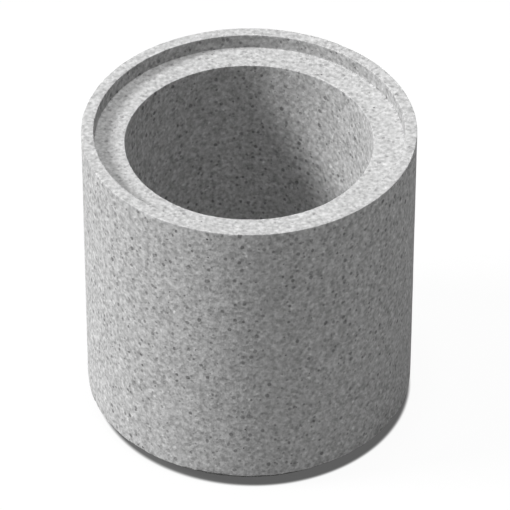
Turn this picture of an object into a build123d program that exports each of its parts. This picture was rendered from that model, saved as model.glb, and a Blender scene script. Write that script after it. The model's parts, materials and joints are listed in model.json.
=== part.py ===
import os

from build123d import *

# Round flue liner, cast as one concrete ring. It stands on its spigot with the socket uppermost.
# Sizes are in millimetres and Z runs up the bore from the spigot end.

# Driving sizes
bore_diameter = 225.0    # clear way for the smoke
wall_thickness = 39.5    # bore to outer face
overall_height = 300.0   # spigot end to rim
rim_thickness = 11.5     # upstanding rim round the socket
socket_depth = 14.0      # rim down to the seat
joint_gap = 2.5          # jointing cement between a spigot and the socket it sits in
arris_chamfer = 0.6      # outside corners, broken as they leave the mould
root_radius = 1.0        # inside corners of the socket and under the shoulder

# Sizes that follow from them
bore_radius = bore_diameter / 2
outer_radius = bore_radius + wall_thickness
socket_radius = outer_radius - rim_thickness
spigot_radius = socket_radius - joint_gap
spigot_length = socket_depth  # a stacked pair closes on the seat and on the rim together
seat_height = overall_height - socket_depth

with BuildPart() as flue_liner:
    # Half section through the wall, from the foot of the bore outwards, up the outside and back
    with BuildSketch(Plane.XZ):
        with BuildLine():
            Polyline(
                (bore_radius, 0),
                (spigot_radius, 0),
                (spigot_radius, spigot_length),
                (outer_radius, spigot_length),
                (outer_radius, overall_height),
                (socket_radius, overall_height),
                (socket_radius, seat_height),
                (bore_radius, seat_height),
                close=True,
            )
        make_face()
    revolve(axis=Axis.Z)

    # Arrises: both at the foot, the shoulder's outer edge, the mouth of the bore, both on the rim
    foot, shoulder, seat, rim = flue_liner.edges().filter_by(GeomType.CIRCLE).group_by(Axis.Z)
    shoulder_arris = shoulder.sort_by(SortBy.RADIUS)[-1]
    bore_mouth = seat.sort_by(SortBy.RADIUS)[0]
    chamfer([*foot, shoulder_arris, bore_mouth, *rim], length=arris_chamfer)

    # Roots: where the spigot meets the shoulder and where the socket wall meets the seat
    level_rings = flue_liner.edges().filter_by(GeomType.CIRCLE)
    spigot_root = level_rings.filter_by_position(Axis.Z, spigot_length, spigot_length).sort_by(SortBy.RADIUS)[0]
    socket_root = level_rings.filter_by_position(Axis.Z, seat_height, seat_height).sort_by(SortBy.RADIUS)[-1]
    fillet([spigot_root, socket_root], radius=root_radius)

flue_liner.part.label = "flue_liner"

os.makedirs("parts", exist_ok=True)
export_step(flue_liner.part, "parts/flue_liner.step")
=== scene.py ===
import json
import math

import bpy
import numpy as np
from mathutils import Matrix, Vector


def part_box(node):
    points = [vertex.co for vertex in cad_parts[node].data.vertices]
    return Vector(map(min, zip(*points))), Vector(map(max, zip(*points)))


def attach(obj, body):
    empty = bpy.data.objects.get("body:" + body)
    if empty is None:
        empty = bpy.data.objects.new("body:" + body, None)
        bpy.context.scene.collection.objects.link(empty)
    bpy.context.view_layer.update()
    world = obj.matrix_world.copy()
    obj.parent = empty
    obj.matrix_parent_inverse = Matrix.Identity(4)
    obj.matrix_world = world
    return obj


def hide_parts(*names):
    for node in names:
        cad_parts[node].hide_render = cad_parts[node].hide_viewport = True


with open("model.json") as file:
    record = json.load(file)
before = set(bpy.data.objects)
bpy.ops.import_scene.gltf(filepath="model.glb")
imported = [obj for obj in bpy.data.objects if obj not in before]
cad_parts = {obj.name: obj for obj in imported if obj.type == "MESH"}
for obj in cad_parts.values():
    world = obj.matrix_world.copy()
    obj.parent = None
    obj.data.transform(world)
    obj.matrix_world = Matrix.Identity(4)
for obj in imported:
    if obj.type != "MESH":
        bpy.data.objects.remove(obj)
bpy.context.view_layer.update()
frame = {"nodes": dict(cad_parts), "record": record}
bpy.context.scene.view_settings.view_transform = "Standard"
mounts = {m["name"]: m for m in frame["record"]["mounts"]}
radiusOf = lambda name: mounts[name]["dims"]["r_mm"] / 1000
levelOf = lambda name: mounts[name]["pos_m"][2]
print("frame loaded, nodes:", sorted(frame["nodes"]))


# cast ring

ring = {
    "columns": 340,                 # steps round the ring, an even number
    "wallStep": 0.0037,             # row spacing up the walls
    "endStep": 0.0028,              # row spacing across the end faces
    "leastSteps": 4,                # on a short run
    "hemStep": 0.001,               # first row in from a rounded corner
    "cornerRows": 4,                # rows over a rounded corner
    "arrisRadius": 0.0006,          # outside corners
    "rootRadius": 0.0003,           # inside corners
    "waveDepth": 0.00025,           # slow hollows left by the mould
    "waveSizes": (0.06, 0.02),
    "grainDepth": 0.00014,          # sandy unevenness
    "grainSize": 0.007,
    "wearDepth": 0.0003,            # crumbled arrises
    "wearSizes": (0.005, 0.014),
    "wearSwing": (0.3, 1.1, 1.3),   # middle, swing and most of the wear, in wear depths
    "wearReach": 0.0014,            # how far wear comes in from an arris
    "shoulderWear": 3.0,            # times that of the others, on the shoulder's arris
    "pits": 520,                    # blowholes
    "pitRadius": (0.0004, 0.001),
    "pitRarity": 1.8,               # above 1, small ones are the more common
    "pitDepth": (0.55, 1.0),        # times the pit's radius
    "pitStretch": 0.22,             # how far out of round
    "pitRagged": (0.85, 1.1),       # unevenness of the lip
    "pitRoom": 0.0022,              # least row spacing that takes one
    "pitSpan": 0.9,                 # share of its block that it may use
    "pitFill": 0.8,                 # its largest radius, against half of that share
    "pitMargin": 1.4,               # radii kept between its middle and the edge of that share
    "floorShare": 0.66,             # width of its floor ring against its lip
    "floorDrop": 0.8,               # depth of that ring against its middle
    "seed": 7,
}


def sectionLoop():
    # Closed section of the wall: straight runs joined by quarter circles, walked with the concrete on the
    # left. A quarter turn from direction a into b at corner C is C - R a + R b + R (a sin t - b cos t), with
    # t from 0 to 90 degrees. Its outward normal is that bracket on an arris, and the bracket turned round in
    # a root.
    bore, socket, spigot = (radiusOf(n) for n in ("flue_bore", "socket", "spigot"))
    foot, shoulder, seat, rim = (levelOf(n) for n in ("foot", "shoulder", "seat", "rim"))
    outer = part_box("flue_liner")[1].x
    corners = np.array([(bore, foot), (spigot, foot), (spigot, shoulder), (outer, shoulder),
                        (outer, rim), (socket, rim), (socket, seat), (bore, seat)])
    ways = np.roll(corners, -1, 0) - corners
    lengths = np.abs(ways).sum(1)
    ways /= lengths[:, None]
    before = np.roll(ways, 1, 0)
    turns = before[:, 0] * ways[:, 1] - before[:, 1] * ways[:, 0]     # 1 on an arris, -1 in a root
    radii = np.where(turns > 0, ring["arrisRadius"], ring["rootRadius"])
    wear = np.where(turns > 0, 1.0, 0.0)
    wear[(corners == (outer, shoulder)).all(1)] *= ring["shoulderWear"]
    t = np.linspace(0, math.pi / 2, ring["cornerRows"] + 1)[:, None]
    middleRow = np.arange(len(t)) == len(t) // 2
    spots, normals, plain, worn = [], [], [], []
    for k, corner in enumerate(corners):
        bracket = before[k] * np.sin(t) - ways[k] * np.cos(t)
        spots.append(corner + radii[k] * (ways[k] - before[k] + bracket))
        normals.append(bracket * turns[k])
        plain.append(np.zeros(len(t), bool))
        worn.append(np.where(middleRow, wear[k], 0))
        run = lengths[k] - radii[k] - radii[(k + 1) % len(corners)]
        level = abs(ways[k, 0]) > abs(ways[k, 1])
        step = ring["endStep" if level else "wallStep"]
        between = np.linspace(0, run, max(ring["leastSteps"], round(run / step)) + 1)[1:-1]
        along = np.concatenate([[ring["hemStep"]], between, [run - ring["hemStep"]]])[:, None]
        spots.append(corner + ways[k] * (radii[k] + along))
        normals.append(np.repeat([[ways[k, 1], -ways[k, 0]]], len(along), 0))
        plain.append(np.ones(len(along), bool))
        worn.append(np.zeros(len(along)))
    spots, normals, plain, worn = (np.concatenate(x) for x in (spots, normals, plain, worn))
    # the loop starts half way across the foot, where the map's seam is out of sight
    onFoot = np.flatnonzero(plain & (spots[:, 1] == foot))
    start = onFoot[np.argmin(np.abs(spots[onFoot, 0] - (bore + spigot) / 2))]
    spots, normals, plain, worn = (np.roll(x, -start, 0) for x in (spots, normals, plain, worn))
    gaps = np.linalg.norm(np.roll(spots, -1, 0) - spots, axis=1)
    reach = np.concatenate([[0], np.cumsum(gaps)])                    # distance walked, the whole loop last
    return spots, normals, plain, worn, reach


def smoothNoise(places, size, seed):
    # Random numbers from -1 to 1 on a cubic lattice, blended between the eight round each place by
    # 3t^2 - 2t^3. The lattice repeats after 64 steps, which is further than the liner is wide.
    period = 64
    table = np.random.default_rng(seed).uniform(-1, 1, (period, period, period))
    scaled = places / size
    low = np.floor(scaled).astype(int)
    t = scaled - low
    t = t * t * (3 - 2 * t)
    total = np.zeros(places.shape[:-1])
    for corner in np.ndindex(2, 2, 2):
        weight = np.abs(1 - np.array(corner) - t).prod(-1)
        at = (low + corner) % period
        total += weight * table[at[..., 0], at[..., 1], at[..., 2]]
    return total


def mixedNoise(places, sizes, seeds):
    # two noises of different size added up, three parts of the first to two of the second
    return 0.6 * smoothNoise(places, sizes[0], seeds[0]) + 0.4 * smoothNoise(places, sizes[1], seeds[1])


def swept(r, z, turn):
    # a point of the section carried round the axis
    return np.stack([r * np.cos(turn), r * np.sin(turn), z + 0 * turn], -1)


def spreadFrom(rowsOwn, reach, width):
    # A row's own value carried to its neighbours, falling away as a bell curve of the distance along the
    # section.
    marked = rowsOwn > 0
    apart = np.abs(reach[:-1, None] - reach[:-1][marked])
    apart = np.minimum(apart, reach[-1] - apart)
    return (rowsOwn[marked] * np.exp(-(apart / width) ** 2)).max(1)


def sinkDepth(places, worn):
    # How far each point sinks below the plain solid, never less than nothing: slow waves, sandy grain, and a
    # crumbling of the arrises, which worn picks out.
    wave = mixedNoise(places, ring["waveSizes"], (1, 2))
    grain = smoothNoise(places, ring["grainSize"], 3)
    sink = ring["waveDepth"] * (1 - wave) / 2 + ring["grainDepth"] * (1 - grain) / 2
    middle, swing, most = ring["wearSwing"]
    crumble = np.clip(middle + swing * mixedNoise(places, ring["wearSizes"], (4, 5)), 0, most)
    return sink + ring["wearDepth"] * worn * crumble


# the eight points round a pit: their directions, and the rows and columns to its block's outer points
around = np.arange(8) * math.pi / 4
across = np.array([(0, 1), (1, 1), (1, 0), (1, -1), (0, -1), (-1, -1), (-1, 0), (-1, 1)])


def scatterPits(spots, plain, reach):
    # Blowholes, each in a block of two by two cells of a plain run, which is picked by its area. A lip is a
    # circle stretched along one direction, with each of its eight points moved in or out a little.
    rng = np.random.default_rng(ring["seed"])
    rows, columns = len(spots), ring["columns"]
    row = np.arange(rows)
    inRun = plain & np.roll(plain, 1) & np.roll(plain, -1)
    clearOfSeam = (row > 2) & (row < rows - 3)
    gaps = np.diff(reach)
    room = np.minimum(gaps, np.roll(gaps, 1))
    fits = np.flatnonzero(inRun & clearOfSeam & (row % 2 == 1) & (room > ring["pitRoom"]))
    blocks = columns // 2 - 1
    area = np.repeat((spots[fits, 0] * room[fits])[:, None], blocks, 1)
    picked = rng.choice(area.size, ring["pits"], replace=False, p=(area / area.sum()).ravel())
    i = fits[picked // blocks]
    shift = rng.integers(0, 2, rows)                                  # half the rows start one column on
    j = picked % blocks * 2 + 1 + shift[i]
    halfU = spots[i, 0] * 2 * math.pi / columns * ring["pitSpan"]
    halfV = room[i] * ring["pitSpan"]
    count = len(i)
    smallest, largest = ring["pitRadius"]
    radius = smallest + (largest - smallest) * rng.uniform(0, 1, count) ** ring["pitRarity"]
    radius = np.minimum(radius, ring["pitFill"] * np.minimum(halfU, halfV))
    depth = radius * rng.uniform(*ring["pitDepth"], count)
    margin = radius * ring["pitMargin"]
    offU = rng.uniform(-1, 1, count) * (halfU - margin).clip(0)
    offV = rng.uniform(-1, 1, count) * (halfV - margin).clip(0)
    lean = rng.uniform(0, math.pi, count)[:, None]
    stretched = 1 + ring["pitStretch"] * np.cos(2 * (around - lean))
    lip = radius[:, None] * stretched * rng.uniform(*ring["pitRagged"], (count, 8))
    return i, j, depth, offU[:, None], offV[:, None], lip


def fillMesh(name, verts, quads, tris, quadMap, triMap):
    # quads come first, then triangles; the map is the ring cut once and rolled out flat
    mesh = bpy.data.meshes.new(name)
    mesh.vertices.add(len(verts))
    mesh.vertices.foreach_set("co", verts.astype(np.float32).ravel())
    mesh.loops.add(quads.size + tris.size)
    mesh.loops.foreach_set("vertex_index", np.concatenate([quads.ravel(), tris.ravel()]).astype(np.int32))
    starts = np.concatenate([np.arange(len(quads)) * 4, quads.size + np.arange(len(tris)) * 3])
    mesh.polygons.add(len(starts))
    mesh.polygons.foreach_set("loop_start", starts.astype(np.int32))
    mesh.update(calc_edges=True)
    flat = np.concatenate([quadMap.reshape(-1, 2), triMap.reshape(-1, 2)])
    mesh.uv_layers.new(name="OFBake").data.foreach_set("uv", flat.astype(np.float32).ravel())
    return mesh


def castRing():
    # The section loop carried round the axis as a closed grid of rows and columns. Each point stands at the
    # section's point less the sink depth along the section's normal, turned by the column's angle.
    spots, normals, plain, worn, reach = sectionLoop()
    rows, columns = len(spots), ring["columns"]
    angles = np.arange(columns) * 2 * math.pi / columns
    r, z = spots[:, :1], spots[:, 1:]
    nr, nz = normals[:, :1], normals[:, 1:]
    wear = spreadFrom(worn, reach, ring["wearReach"])[:, None]
    sink = sinkDepth(swept(r, z, angles[None]), wear)
    points = swept(r - sink * nr, z - sink * nz, angles[None])

    # a pit has its block's eight outer points, a lip, a floor ring and the block's middle
    ic, jc, depth, offU, offV, lip = scatterPits(spots, plain, reach)
    count = len(ic)

    def pitRing(share, drop):
        # lip points scaled towards the pit's middle and dropped below the uneven face
        u = offU + share * lip * np.cos(around)
        v = offV + share * lip * np.sin(around)
        turn = angles[jc][:, None] + u / r[ic]
        lieR, lieZ = r[ic] - v * nz[ic], z[ic] + v * nr[ic]
        down = sinkDepth(swept(lieR, lieZ, turn), 0) + drop[:, None]
        places = swept(lieR - down * nr[ic], lieZ - down * nz[ic], turn)
        return places, np.stack([turn / (2 * math.pi), (reach[ic][:, None] + v) / reach[-1]], -1)

    lipSpots, lipMap = pitRing(1.0, 0 * depth)
    floorSpots, floorMap = pitRing(ring["floorShare"], ring["floorDrop"] * depth)
    sunk = (sink[ic, jc] + depth)[:, None]
    points[ic, jc] = swept(r[ic] - sunk * nr[ic], z[ic] - sunk * nz[ic], angles[jc][:, None])[:, 0]
    verts = np.concatenate([x.reshape(-1, 3) for x in (points, lipSpots, floorSpots)])
    lipAt = rows * columns + np.arange(count * 8).reshape(count, 8)
    floorAt = lipAt + count * 8

    # faces: plain cells, then for each pit the collar, the wall and the floor
    i, j = np.meshgrid(np.arange(rows), np.arange(columns), indexing="ij")
    at = lambda a, b: (a % rows) * columns + b % columns
    mapAt = lambda a, b: np.stack([b / columns, reach[a] / reach[-1]], -1)
    keep = np.ones((rows, columns), bool)
    for di, dj in ((-1, -1), (-1, 0), (0, -1), (0, 0)):
        keep[ic + di, jc + dj] = False
    fourOf = lambda f: np.stack([f(i, j), f(i, j + 1), f(i + 1, j + 1), f(i + 1, j)], 2)[keep]
    cells = fourOf(at)
    outerI, outerJ = ic[:, None] + across[:, 0], jc[:, None] + across[:, 1]
    nextOne = lambda x: np.roll(x, -1, 1)
    quadRing = lambda a, b: np.stack([a, nextOne(a), nextOne(b), b], 2).reshape(-1, 4, *a.shape[2:])
    fan = lambda a, b: np.stack([a, nextOne(a), np.repeat(b[:, None], 8, 1)], 2).reshape(-1, 3, *a.shape[2:])
    quads = np.concatenate([cells, quadRing(at(outerI, outerJ), lipAt), quadRing(lipAt, floorAt)])
    quadMap = np.concatenate([fourOf(mapAt), quadRing(mapAt(outerI, outerJ), lipMap),
                              quadRing(lipMap, floorMap)])
    tris, triMap = fan(floorAt, at(ic, jc)), fan(floorMap, mapAt(ic, jc))
    mesh = fillMesh("castRing", verts, quads, tris, quadMap, triMap)

    # pits are flat shaded inside a sharp lip, so the face stays plain up to them
    inside = np.arange(len(quads) + len(tris)) >= len(cells) + count * 8
    mesh.attributes.new("sharp_face", "BOOLEAN", "FACE").data.foreach_set("value", inside)
    ends = np.empty(len(mesh.edges) * 2, np.int32)
    mesh.edges.foreach_get("vertices", ends)
    onLip = ((ends >= lipAt[0, 0]) & (ends < floorAt[0, 0])).reshape(-1, 2).all(1)
    mesh.attributes.new("sharp_edge", "BOOLEAN", "EDGE").data.foreach_set("value", onLip)

    # what the finish reads: 1 in the pits, on the pressed end faces and on the socket's wall; the finish
    # paints shade on all three, and calms the grain on the end faces
    inPit = np.zeros(len(verts))
    inPit[floorAt] = 1
    inPit[at(ic, jc)] = 1
    # the socket's wall, where the finish paints shade
    inSocket = (z > levelOf("seat")) & (z < levelOf("rim"))
    socketWall = np.where(inSocket, np.clip(-nr, 0, 1), 0)
    onRows = lambda x: np.concatenate([np.repeat(x, columns), np.tile(np.repeat(x[ic], 8), 2)])
    carried = {"inPit": inPit, "endFace": onRows(np.abs(nz)), "socketWall": onRows(socketWall)}
    for name, values in carried.items():
        mesh.attributes.new(name, "FLOAT", "POINT").data.foreach_set("value", values.astype(np.float32))
    mesh.validate()
    piece = bpy.data.objects.new("castRing", mesh)
    bpy.context.scene.collection.objects.link(piece)
    triangles = len(quads) * 2 + len(tris)
    print("cast ring:", rows, "rows,", columns, "columns,", count, "pits,", triangles, "triangles")
    return piece


# shader maths

class Wire:
    # one output socket; sums on it add Math nodes to its tree
    def __init__(self, tree, socket=None):
        self.tree, self.socket = tree, socket

    def node(self, kind, settings=None, sockets=None, out=0):
        made = self.tree.nodes.new(kind)
        for name, value in (settings or {}).items():
            setattr(made, name, value)
        for name, value in (sockets or {}).items():
            if isinstance(value, Wire):
                self.tree.links.new(value.socket, made.inputs[name])
            else:
                made.inputs[name].default_value = value
        return Wire(self.tree, made.outputs[out] if made.outputs else None)

    def sum(self, operation, a, b=0.0, clamp=False):
        return self.node("ShaderNodeMath", {"operation": operation, "use_clamp": clamp}, {0: a, 1: b})

    def __add__(self, other): return self.sum("ADD", self, other)
    def __radd__(self, other): return self.sum("ADD", other, self)
    def __sub__(self, other): return self.sum("SUBTRACT", self, other)
    def __rsub__(self, other): return self.sum("SUBTRACT", other, self)
    def __mul__(self, other): return self.sum("MULTIPLY", self, other)
    def __rmul__(self, other): return self.sum("MULTIPLY", other, self)
    def __truediv__(self, other): return self.sum("DIVIDE", self, other)
    def __rtruediv__(self, other): return self.sum("DIVIDE", other, self)

    def between(self, low, high):
        # 0 below low, 1 above high, eased between them
        return self.node("ShaderNodeMapRange", {"interpolation_type": "SMOOTHSTEP"},
                         {"Value": self, "From Min": low, "From Max": high})

    def channel(self, which):
        return self.node("ShaderNodeSeparateColor", None, {"Color": self}, which)


def newMaterial(name):
    material = bpy.data.materials.new(name)
    material.use_nodes = True
    material.node_tree.nodes.clear()
    return material, Wire(material.node_tree)


def grey(level):
    return (level, level, level, 1)


# concrete, with its grain in millimetres

concrete = {
    "dark": 0.06,                   # tone of the darkest grain
    "light": 0.95,                  # tone of the palest grain
    "middle": 0.52,                 # tone of the whole
    "sandSize": 2.3,
    "sandTone": 0.355,              # swing of its tone about the middle
    "fineSandSize": 1.5,
    "fineSandTone": 0.13,
    "mottleSize": 4.0,
    "mottleDetail": (1.0, 0.4),     # noise detail and roughness
    "mottleTone": 1.05,
    "blotchSize": 45.0,
    "blotchDetail": (3.0, 0.55),
    "blotchTone": 0.07,
    "grainTall": 1.15,              # how much taller than wide a grain is
    "grainShake": (0.9, 1.6),       # how far grain outlines wander, and over what length
    "stoneShake": (0.8, 2.6),       # and stone outlines
    "stoneEdge": (-0.3, 0.35),      # softness of a stone's outline, inside and out
    "stoneLeast": 0.3,              # strength of the faintest stone
    "speckSpacing": 5.2,            # between dark stones in the mass
    "speckRadius": 2.05,
    "speckDarkness": 0.56,
    "fleckSpacing": 5.6,            # between pale stones
    "fleckRadius": 1.5,
    "fleckLightness": 0.32,
    # painted shade: how much darker the blowholes are painted
    "pitPaintedShade": 0.7,
    "endCalm": 0.18,                # how much fainter the grain is on the end faces
    "endBare": 0.5,                 # how much fainter the stones are there
    # painted shade: the end faces, which the overhead lamp lights, are painted darker
    "endPaintedShade": 0.11,                # how much darker those faces are
    # painted shade in the socket's recess
    "socketPaintedShade": 0.14,             # how much darker the socket's wall is
    "roughness": 0.9,
    "roughSwing": 0.12,
    "specular": 0.25,
    "reliefDepth": 0.0005,          # metres
    "reliefStrength": 0.6,
    "sandRelief": 0.5,              # shares of the relief, against the mottle's
    "speckRelief": 0.8,
}


def concreteFinish():
    # Fine concrete: every sand grain a cell with a tone of its own, soft mottling between them, dark and pale
    # stones as balls scattered through the mass and cut by the surface, and painted shade in the blowholes,
    # on the end faces and on the socket's wall.
    material, tree = newMaterial("concrete")
    place = tree.node("ShaderNodeTexCoord", out=3)
    inMm = tree.node("ShaderNodeVectorMath", {"operation": "MULTIPLY"},
                     {0: place, 1: (1000, 1000, 1000 / concrete["grainTall"])})

    def clouds(size, detail, rough, out=0):
        return tree.node("ShaderNodeTexNoise", None,
                         {"Vector": inMm, "Scale": 1 / size, "Detail": detail, "Roughness": rough}, out)

    def shaken(far, length):
        # grains and stones are out of round: the place they are looked up at is shaken a little
        return tree.node("ShaderNodeVectorMath", {"operation": "MULTIPLY_ADD"},
                         {0: clouds(length, 0.0, 0.5, 1), 1: (far, far, far), 2: inMm})

    grainAt = shaken(*concrete["grainShake"])
    stoneAt = shaken(*concrete["stoneShake"])

    def cells(spacing, out, where=grainAt):
        # out 0 is the distance to the nearest point, in spacings, and out 1 that point's own colour
        return tree.node("ShaderNodeTexVoronoi", None, {"Vector": where, "Scale": 1 / spacing}, out)

    def balls(spacing, radius):
        # balls about scattered points, of mixed size and strength: the point's own colour gives both
        own = cells(spacing, 1, stoneAt)
        away = spacing * cells(spacing, 0, stoneAt)
        least = concrete["stoneLeast"]
        strength = least + (1 - least) * own.channel(2)
        return (radius * own.channel(1) - away).between(*concrete["stoneEdge"]) * strength

    # tones swing about nothing
    sand = cells(concrete["sandSize"], 1).channel(0) - 0.5
    fineSand = cells(concrete["fineSandSize"], 1).channel(0) - 0.5
    mottle = clouds(concrete["mottleSize"], *concrete["mottleDetail"]) - 0.5
    blotch = clouds(concrete["blotchSize"], *concrete["blotchDetail"]) - 0.5
    tone = (concrete["sandTone"] * sand + concrete["fineSandTone"] * fineSand
            + concrete["mottleTone"] * mottle + concrete["blotchTone"] * blotch)
    specks = balls(concrete["speckSpacing"], concrete["speckRadius"])
    flecks = balls(concrete["fleckSpacing"], concrete["fleckRadius"])

    # pressed faces have a closer skin than the walls
    carried = lambda name: tree.node("ShaderNodeAttribute", {"attribute_name": name}, out=2)
    endFace = carried("endFace")
    skin = 1 - concrete["endBare"] * endFace
    calmed = (1 - concrete["endCalm"] * endFace) * tone
    stones = ((1 - concrete["speckDarkness"] * skin * specks)
              * (1 + concrete["fleckLightness"] * skin * flecks))
    # painted shade in the blowholes
    shade = 1 - concrete["pitPaintedShade"] * carried("inPit")
    # painted shade on the end faces and on the socket's wall
    faces = 1 - concrete["endPaintedShade"] * endFace - concrete["socketPaintedShade"] * carried("socketWall")
    value = concrete["middle"] * faces * (1 + calmed) * stones * shade
    share = (value - concrete["dark"]) / (concrete["light"] - concrete["dark"])
    colour = tree.node("ShaderNodeMix", {"data_type": "RGBA", "clamp_factor": True},
                       {0: share, 6: grey(concrete["dark"]), 7: grey(concrete["light"])}, 2)

    relief = (concrete["sandRelief"] * cells(concrete["sandSize"], 0) + mottle
              - concrete["speckRelief"] * specks)
    bumped = tree.node("ShaderNodeBump", None,
                       {"Height": relief, "Distance": concrete["reliefDepth"],
                        "Strength": concrete["reliefStrength"]})
    matt = concrete["roughness"] + concrete["roughSwing"] * mottle
    surface = tree.node("ShaderNodeBsdfPrincipled", None,
                        {"Base Color": colour, "Roughness": matt, "Normal": bumped,
                         "Specular IOR Level": concrete["specular"]})
    tree.node("ShaderNodeOutputMaterial", None, {"Surface": surface})
    print("concrete finish made")
    return material


liner = castRing()
liner.data.materials.append(concreteFinish())
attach(liner, "root")
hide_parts("flue_liner")


# floor, light and camera

studio = {
    "floorSize": 12.0,
    "floorBounce": 0.35,            # what the floor gives back to the liner
    "floorPale": 0.85,              # what the camera sees of it
    # the white circle is set off to the shadow's side, so the painted shade ring is wider there
    "fadeMiddle": (0.0032, -0.001),     # middle of a circle beyond which the floor goes white
    "fadeFrom": 0.145,              # its radius where that starts
    "fadeTo": 0.15,
    "fadeMost": 0.94,
    # painted shade: a flat grey the camera sees on the floor under the shoulder
    "paintedFootShade": 0.114,             # grey of the floor close in under the shoulder
    "footFrom": 0.125,              # where that starts, out of sight beneath the foot
    "footTo": 0.126,
    "skyLevel": 0.178,
    "keyStrength": 3.25,
    "keyAngle": 18.0,               # degrees across, which softens shadows
    "keyAzimuth": 183.5,            # from +X towards +Y
    "keyHeight": 39.5,              # degrees above the floor
    "topStrength": 1.7,             # straight overhead
    "topAngle": 16.0,
}


def whiteSeen(tree):
    # 1 for rays that show the background to the camera, straight or off a shiny surface
    path = lambda name: tree.node("ShaderNodeLightPath", None, None, name)
    return tree.sum("ADD", path("Is Camera Ray") + path("Is Glossy Ray"), path("Is Transmission Ray"), True)


def layFloor():
    # a square of two by two points at floor level
    half = studio["floorSize"] / 2
    x, y = np.meshgrid((-half, half), (-half, half))
    mesh = bpy.data.meshes.new("floor")
    mesh.from_pydata(np.stack([x, y, 0 * x], -1).reshape(-1, 3), [], [(0, 1, 3, 2)])
    floor = bpy.data.objects.new("floor", mesh)
    bpy.context.scene.collection.objects.link(floor)
    material, tree = newMaterial("paleFloor")
    seen = whiteSeen(tree)
    place = tree.node("ShaderNodeTexCoord", out=3)

    def awayFrom(x, y):
        return tree.node("ShaderNodeVectorMath", {"operation": "DISTANCE"}, {0: place, 1: (x, y, 0)}, 1)

    def glow(level):
        return tree.node("ShaderNodeEmission", None, {"Color": grey(level), "Strength": 1.0})

    # the camera sees white beyond the liner's foot, and a ring of painted shade, a flat grey, between
    # the foot and that
    beyond = awayFrom(*studio["fadeMiddle"]).between(studio["fadeFrom"], studio["fadeTo"])
    close = (1 - beyond) * awayFrom(0, 0).between(studio["footFrom"], studio["footTo"])
    colour = tree.node("ShaderNodeMix", {"data_type": "RGBA"},
                       {0: seen, 6: grey(studio["floorBounce"]), 7: grey(studio["floorPale"])}, 2)
    matt = tree.node("ShaderNodeBsdfDiffuse", None, {"Color": colour})
    most = seen * studio["fadeMost"]
    far = tree.node("ShaderNodeMixShader", None, {0: most * beyond, 1: matt, 2: glow(1.0)})
    both = tree.node("ShaderNodeMixShader", None, {0: most * close, 1: far, 2: glow(studio["paintedFootShade"])})
    tree.node("ShaderNodeOutputMaterial", None, {"Surface": both})
    mesh.materials.append(material)


def softLamp(name, strength, across, azimuth, height):
    lamp = bpy.data.lights.new(name, "SUN")
    lamp.energy = strength
    lamp.angle = math.radians(across)
    hung = bpy.data.objects.new(name, lamp)
    bpy.context.scene.collection.objects.link(hung)
    turn, lift = math.radians(azimuth), math.radians(height)
    towards = Vector((math.cos(turn) * math.cos(lift), math.sin(turn) * math.cos(lift), math.sin(lift)))
    hung.rotation_euler = towards.to_track_quat("Z", "Y").to_euler()
    hung.location = 2 * towards                                       # a sun's place changes nothing


def hangLights():
    world = bpy.data.worlds.new("studio")
    bpy.context.scene.world = world
    world.use_nodes = True
    world.node_tree.nodes.clear()
    tree = Wire(world.node_tree)
    level = studio["skyLevel"] + (1 - studio["skyLevel"]) * whiteSeen(tree)
    sky = tree.node("ShaderNodeBackground", None, {"Color": grey(1.0), "Strength": level})
    tree.node("ShaderNodeOutputWorld", None, {"Surface": sky})
    softLamp("key", studio["keyStrength"], studio["keyAngle"], studio["keyAzimuth"], studio["keyHeight"])
    softLamp("top", studio["topStrength"], studio["topAngle"], 0.0, 90.0)


lens = {
    "elevation": 39.45,             # degrees above the floor
    "distance": 4.284,              # metres from the aim
    "aimHeight": 0.157,             # half way between shoulder and rim
    "focal": 4642.7,                # in pixels of the frame
    "frame": 510,                   # pixels
    "aimX": 249.19,                 # where the aim falls in the frame, from the top left
    "aimY": 250.77,
    "sensor": 36.0,
    "farEnd": 100.0,
}


def setCamera():
    data = bpy.data.cameras.new("camera")
    data.sensor_width = lens["sensor"]
    data.lens = lens["focal"] / lens["frame"] * lens["sensor"]
    data.shift_x = (lens["frame"] / 2 - lens["aimX"]) / lens["frame"]
    data.shift_y = (lens["aimY"] - lens["frame"] / 2) / lens["frame"]
    data.clip_end = lens["farEnd"]
    camera = bpy.data.objects.new("camera", data)
    bpy.context.scene.collection.objects.link(camera)
    tilt = math.radians(lens["elevation"])
    back = Vector((0, -math.cos(tilt), math.sin(tilt)))
    camera.location = Vector((0, 0, lens["aimHeight"])) + back * lens["distance"]
    camera.rotation_euler = back.to_track_quat("Z", "Y").to_euler()
    bpy.context.scene.camera = camera


layFloor()
hangLights()
setCamera()
print("floor, light and camera set")
